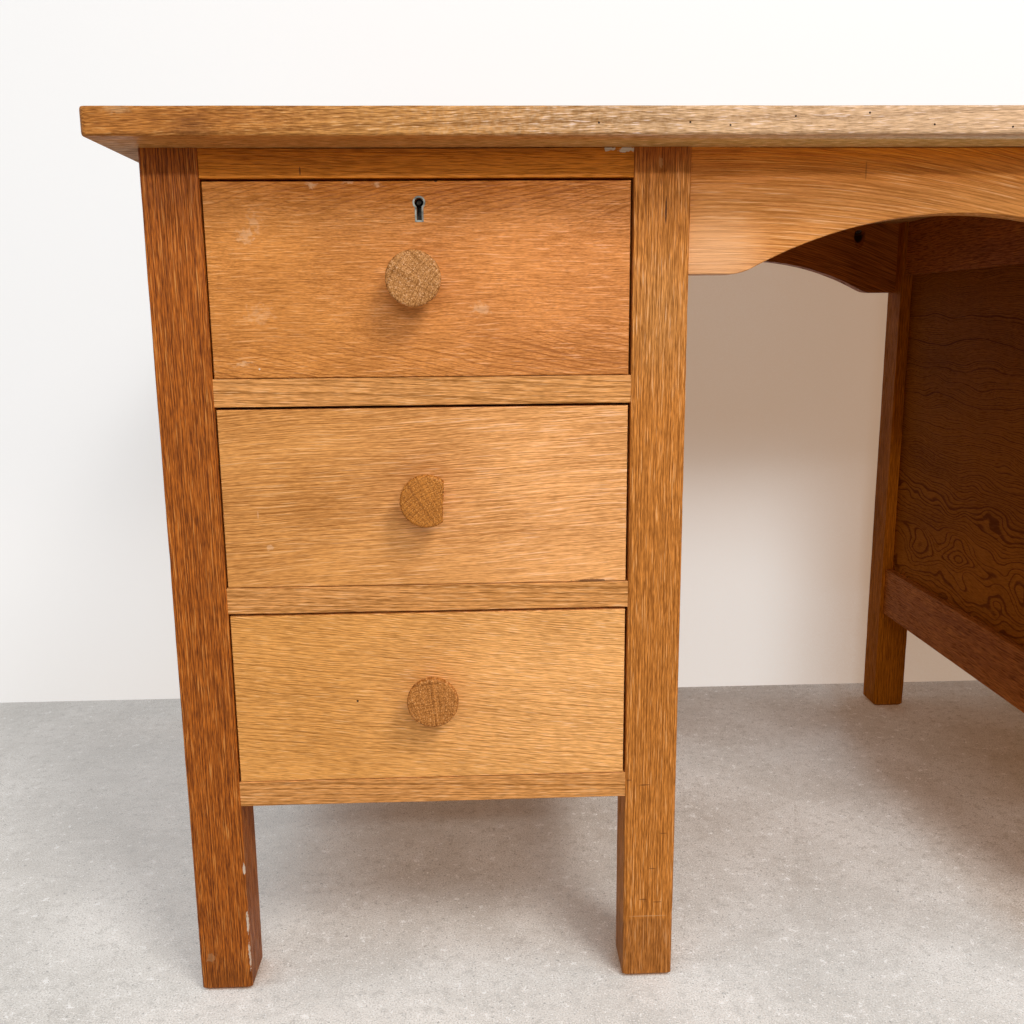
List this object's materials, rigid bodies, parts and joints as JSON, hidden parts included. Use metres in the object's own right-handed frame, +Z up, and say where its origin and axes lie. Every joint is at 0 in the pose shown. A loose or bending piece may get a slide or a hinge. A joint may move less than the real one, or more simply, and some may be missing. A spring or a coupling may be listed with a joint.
{
  "type": "pedestal desk",
  "caption": "Twin pedestal oak desk with an overhanging top, sliding drawers with turned wooden knobs, lockable top drawers and an arched kneehole apron.",
  "frame": {"origin": "on the floor, under the middle of the desk top", "axes": "+X to the right of someone facing the drawers, +Y from the front to the back, +Z up"},
  "size_m": [1.372, 0.762, 0.762],
  "materials": {
    "oak_top": "oak boards, worn varnish, bleached along the front edge",
    "oak_frame": "oiled oak, open grain, semi-matt",
    "oak_drawer_front": "oak, cathedral grain, satin varnish",
    "oak_knob": "turned oak, end grain showing, satin",
    "oak_panel": "oak-faced plywood, flame figure, satin",
    "drawer_lining": "bare planed oak and plywood, unfinished",
    "lock_steel": "dull worn steel",
    "escutcheon_metal": "grey tarnished brass thread",
    "screw_steel": "dull steel wood screws"
  },
  "bodies": {
    "carcass": {"desk_top": "oak_top", "front_apron": "oak_frame", "rear_apron": "oak_frame", "top_screws": "screw_steel", "left_outer_front_leg": "oak_frame", "left_outer_rear_leg": "oak_frame", "left_inner_front_leg": "oak_frame", "left_inner_rear_leg": "oak_frame", "left_drawer_rails": "oak_frame", "left_top_rail": "oak_frame", "left_side_rails": "oak_frame", "left_side_panels": "oak_panel", "left_back_rails": "oak_frame", "left_back_panel": "oak_panel", "left_drawer_runners": "drawer_lining", "left_drawer_guides": "drawer_lining", "right_outer_front_leg": "oak_frame", "right_outer_rear_leg": "oak_frame", "right_inner_front_leg": "oak_frame", "right_inner_rear_leg": "oak_frame", "right_drawer_rails": "oak_frame", "right_top_rail": "oak_frame", "right_side_rails": "oak_frame", "right_side_panels": "oak_panel", "right_back_rails": "oak_frame", "right_back_panel": "oak_panel", "right_drawer_runners": "drawer_lining", "right_drawer_guides": "drawer_lining"},
    "left_top_drawer": {"left_top_drawer_front": "oak_drawer_front", "left_top_drawer_box": "drawer_lining", "left_top_drawer_bottom": "drawer_lining", "left_top_drawer_knob": "oak_knob", "left_lock_case": "lock_steel", "left_escutcheon": "escutcheon_metal", "left_lock_screws": "screw_steel"},
    "left_middle_drawer": {"left_middle_drawer_front": "oak_drawer_front", "left_middle_drawer_box": "drawer_lining", "left_middle_drawer_bottom": "drawer_lining", "left_middle_drawer_knob": "oak_knob"},
    "left_bottom_drawer": {"left_bottom_drawer_front": "oak_drawer_front", "left_bottom_drawer_box": "drawer_lining", "left_bottom_drawer_bottom": "drawer_lining", "left_bottom_drawer_knob": "oak_knob"},
    "left_lock_bolt": {"left_lock_bolt": "lock_steel"},
    "right_top_drawer": {"right_top_drawer_front": "oak_drawer_front", "right_top_drawer_box": "drawer_lining", "right_top_drawer_bottom": "drawer_lining", "right_top_drawer_knob": "oak_knob", "right_lock_case": "lock_steel", "right_escutcheon": "escutcheon_metal", "right_lock_screws": "screw_steel"},
    "right_middle_drawer": {"right_middle_drawer_front": "oak_drawer_front", "right_middle_drawer_box": "drawer_lining", "right_middle_drawer_bottom": "drawer_lining", "right_middle_drawer_knob": "oak_knob"},
    "right_bottom_drawer": {"right_bottom_drawer_front": "oak_drawer_front", "right_bottom_drawer_box": "drawer_lining", "right_bottom_drawer_bottom": "drawer_lining", "right_bottom_drawer_knob": "oak_knob"},
    "right_lock_bolt": {"right_lock_bolt": "lock_steel"}
  },
  "joints": [
    {"name": "left_top_drawer_slide", "type": "slide", "parent": "carcass", "child": "left_top_drawer", "axis": [0, -1, 0], "range_m": [0, 0.42]},
    {"name": "left_middle_drawer_slide", "type": "slide", "parent": "carcass", "child": "left_middle_drawer", "axis": [0, -1, 0], "range_m": [0, 0.42]},
    {"name": "left_bottom_drawer_slide", "type": "slide", "parent": "carcass", "child": "left_bottom_drawer", "axis": [0, -1, 0], "range_m": [0, 0.42]},
    {"name": "left_lock_bolt_slide", "type": "slide", "parent": "left_top_drawer", "child": "left_lock_bolt", "axis": [0, 0, 1], "range_m": [0, 0.008]},
    {"name": "right_top_drawer_slide", "type": "slide", "parent": "carcass", "child": "right_top_drawer", "axis": [0, -1, 0], "range_m": [0, 0.42]},
    {"name": "right_middle_drawer_slide", "type": "slide", "parent": "carcass", "child": "right_middle_drawer", "axis": [0, -1, 0], "range_m": [0, 0.42]},
    {"name": "right_bottom_drawer_slide", "type": "slide", "parent": "carcass", "child": "right_bottom_drawer", "axis": [0, -1, 0], "range_m": [0, 0.42]},
    {"name": "right_lock_bolt_slide", "type": "slide", "parent": "right_top_drawer", "child": "right_lock_bolt", "axis": [0, 0, 1], "range_m": [0, 0.008]}
  ]
}
